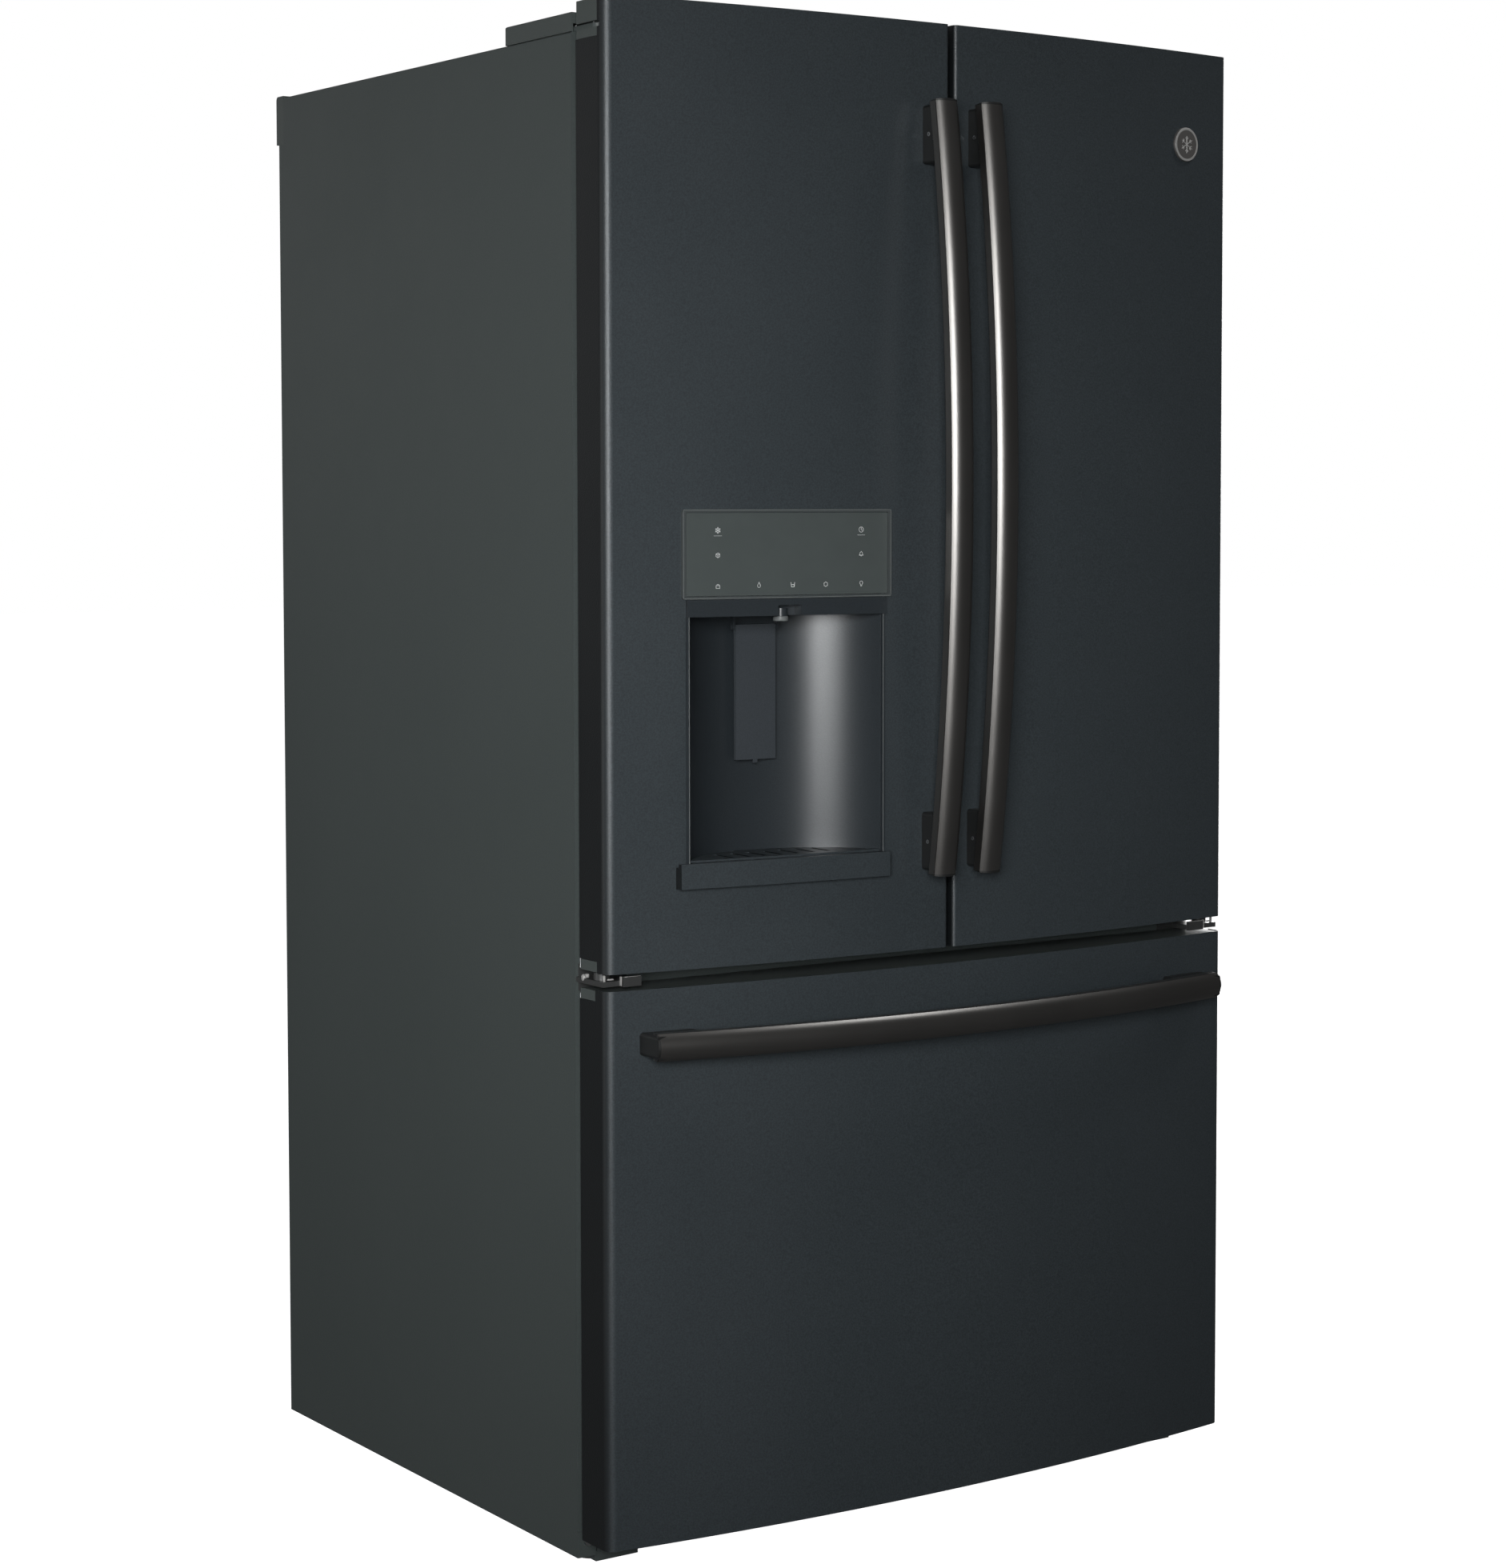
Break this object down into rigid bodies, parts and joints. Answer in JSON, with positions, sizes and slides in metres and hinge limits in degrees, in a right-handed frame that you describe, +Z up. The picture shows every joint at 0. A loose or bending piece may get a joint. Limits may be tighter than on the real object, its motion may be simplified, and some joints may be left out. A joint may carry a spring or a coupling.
{
  "type": "french door refrigerator",
  "caption": "Free-standing refrigerator: hinged upper doors over a freezer drawer, curved slate fronts, bowed bar handles, and a water and ice dispenser in the left door.",
  "frame": {"origin": "under the middle of the whole outline, on the floor", "axes": "+Z up, the doors face -Y, +X to the right of someone facing +Y towards the doors"},
  "size_m": [0.908, 0.9256, 1.775],
  "materials": {
    "slate_front": "satin",
    "slate_paddle": "satin",
    "case_paint": "satin",
    "grey_plastic": "matte",
    "black_plastic": "matte",
    "handle_metal": "satin",
    "bezel": "satin",
    "panel_glass": "gloss",
    "white_liner": "satin",
    "clear_plastic": "gloss",
    "freezer_plastic": "satin",
    "gasket": "matte",
    "galvanised": "satin",
    "zinc": "satin",
    "aluminium_coil": "satin",
    "black_steel": "satin",
    "foam": "matte",
    "shelf_glass": "polished",
    "roller_plastic": "matte",
    "badge_metal": "satin"
  },
  "bodies": {
    "cabinet": {"case_wrapper": "case_paint", "insulation": "foam", "fresh_food_liner": "white_liner", "freezer_liner": "white_liner", "face_frame": "case_paint", "back_panel": "galvanised", "machine_cover": "galvanised", "bottom_deck": "galvanised", "top_cover": "grey_plastic", "rear_trim": "grey_plastic", "top_hinges": "case_paint", "mid_hinges": "zinc", "screws": "zinc", "front_brackets": "case_paint", "evaporator": "aluminium_coil", "evaporator_cover": "white_liner", "condensing_unit": "black_steel", "cord_gland": "black_plastic", "glass_shelves": "shelf_glass", "crisper_frame": "freezer_plastic", "drawer_slides": "galvanised"},
    "left_door": {"left_door_skin": "slate_front", "left_door_caps": "grey_plastic", "left_door_liner": "white_liner", "left_door_gasket": "gasket", "left_door_bins": "clear_plastic", "left_handle": "handle_metal", "left_handle_mounts": "black_plastic", "dispenser_housing": "slate_front", "panel_bezel": "bezel", "panel_glass": "panel_glass", "dispenser_tray": "slate_front", "ice_box": "white_liner"},
    "right_door": {"right_door_skin": "slate_front", "right_door_caps": "grey_plastic", "right_door_liner": "white_liner", "right_door_gasket": "gasket", "right_door_bins": "clear_plastic", "right_handle": "handle_metal", "right_handle_mounts": "black_plastic", "badge": "badge_metal"},
    "freezer_drawer": {"drawer_skin": "slate_front", "drawer_caps": "grey_plastic", "drawer_liner": "white_liner", "drawer_gasket": "gasket", "drawer_bin": "freezer_plastic", "drawer_handle": "handle_metal", "drawer_handle_mounts": "black_plastic"},
    "freezer_tray": {"freezer_tray": "freezer_plastic"},
    "crisper_left": {"crisper_left": "clear_plastic"},
    "crisper_right": {"crisper_right": "clear_plastic"},
    "mullion_flap": {"mullion_flap": "white_liner"},
    "ice_box_door": {"ice_box_door": "white_liner"},
    "dispenser_paddle": {"dispenser_paddle": "slate_paddle"},
    "evaporator_fan": {"evaporator_fan": "black_plastic"},
    "condenser_fan": {"condenser_fan": "black_plastic"},
    "roller_left": {"roller_left": "roller_plastic"},
    "roller_right": {"roller_right": "roller_plastic"},
    "leg_left": {"leg_left": "roller_plastic"},
    "leg_right": {"leg_right": "roller_plastic"}
  },
  "joints": [
    {"name": "left_door_hinge", "type": "hinge", "parent": "cabinet", "child": "left_door", "pos_m": [-0.442, -0.3282, 1], "axis": [0, 0, -1], "range_deg": [0, 125]},
    {"name": "right_door_hinge", "type": "hinge", "parent": "cabinet", "child": "right_door", "pos_m": [0.442, -0.3282, 1], "axis": [0, 0, 1], "range_deg": [0, 125]},
    {"name": "freezer_drawer_slide", "type": "slide", "parent": "cabinet", "child": "freezer_drawer", "axis": [0, -1, 0], "range_m": [0, 0.42]},
    {"name": "freezer_tray_slide", "type": "slide", "parent": "freezer_drawer", "child": "freezer_tray", "axis": [0, -1, 0], "range_m": [0, 0.2]},
    {"name": "crisper_left_slide", "type": "slide", "parent": "cabinet", "child": "crisper_left", "axis": [0, -1, 0], "range_m": [0, 0.07]},
    {"name": "crisper_right_slide", "type": "slide", "parent": "cabinet", "child": "crisper_right", "axis": [0, -1, 0], "range_m": [0, 0.07]},
    {"name": "mullion_flap_hinge", "type": "hinge", "parent": "left_door", "child": "mullion_flap", "pos_m": [-0.025, -0.2802, 1.216], "axis": [0, 0, -1], "range_deg": [0, 90]},
    {"name": "ice_box_door_hinge", "type": "hinge", "parent": "left_door", "child": "ice_box_door", "pos_m": [-0.353, -0.16795, 1.445], "axis": [0, 0, 1], "range_deg": [0, 88]},
    {"name": "dispenser_paddle_hinge", "type": "hinge", "parent": "left_door", "child": "dispenser_paddle", "pos_m": [-0.228, -0.3162, 1.078], "axis": [1, 0, 0], "range_deg": [0, 1.8], "stiffness_Nm_per_rad": 2},
    {"name": "evaporator_fan_spin", "type": "hinge", "parent": "cabinet", "child": "evaporator_fan", "pos_m": [0, 0.3428, 0.56], "axis": [0, 1, 0], "continuous": true},
    {"name": "condenser_fan_spin", "type": "hinge", "parent": "cabinet", "child": "condenser_fan", "pos_m": [0.09, 0.3498, 0.15], "axis": [1, 0, 0], "continuous": true},
    {"name": "roller_left_spin", "type": "hinge", "parent": "cabinet", "child": "roller_left", "pos_m": [-0.4, 0.3998, 0.018], "axis": [1, 0, 0], "continuous": true},
    {"name": "leg_left_turn", "type": "hinge", "parent": "cabinet", "child": "leg_left", "pos_m": [-0.4, -0.2302, 0.01], "axis": [0, 0, 1], "continuous": true},
    {"name": "roller_right_spin", "type": "hinge", "parent": "cabinet", "child": "roller_right", "pos_m": [0.4, 0.3998, 0.018], "axis": [1, 0, 0], "continuous": true},
    {"name": "leg_right_turn", "type": "hinge", "parent": "cabinet", "child": "leg_right", "pos_m": [0.4, -0.2302, 0.01], "axis": [0, 0, 1], "continuous": true}
  ]
}
